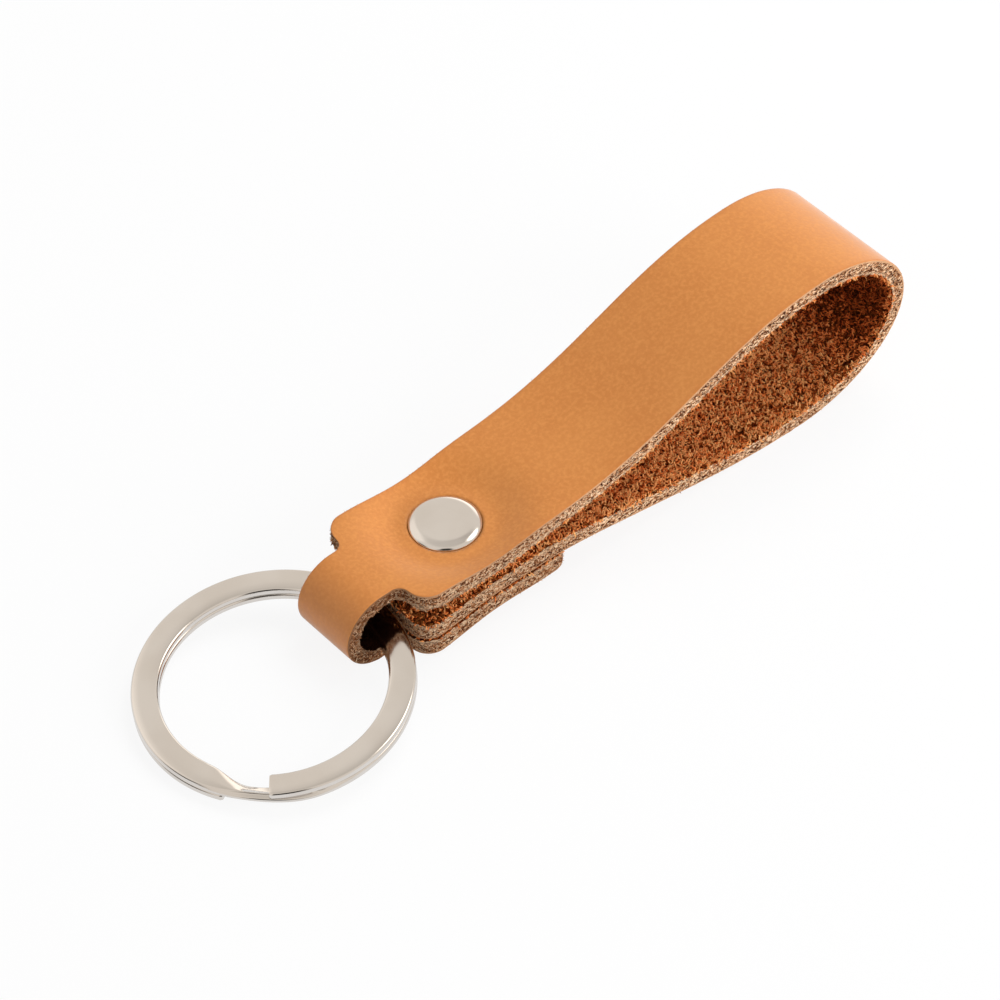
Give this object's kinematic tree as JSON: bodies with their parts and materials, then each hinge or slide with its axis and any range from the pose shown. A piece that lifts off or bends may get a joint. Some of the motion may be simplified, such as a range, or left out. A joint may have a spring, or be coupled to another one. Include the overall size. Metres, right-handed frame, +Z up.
{
  "type": "leather belt-loop key fob with split ring",
  "caption": "Folded leather strap with an open belt loop, closed by a double-cap rivet, with a split ring that swings in its narrow neck to hold keys.",
  "frame": {"origin": "bottom centre of the whole part's box, on the surface that the neck's bend, the loop and the ring's far side lie on", "axes": "+X from the split ring along the strap to the belt loop, +Y across the strap, +Z up, away from the surface"},
  "size_m": [0.1216, 0.0362, 0.0254],
  "materials": {
    "leather": "smooth vegetable-tanned grain outside, brown fuzzy flesh side inside, raw cut edges",
    "nickel": "polished nickel plate"
  },
  "bodies": {
    "fob": {"strap": "leather", "rivet_top_cap": "nickel", "rivet_socket": "nickel", "rivet_post": "nickel", "rivet_bottom_cap": "nickel"},
    "ring": {"split_ring": "nickel"}
  },
  "joints": [
    {"name": "ring_swing", "type": "hinge", "parent": "fob", "child": "ring", "pos_m": [-0.02731, 0.00175, 0.00523], "axis": [0, 1, 0], "range_deg": [-95, 110]}
  ]
}
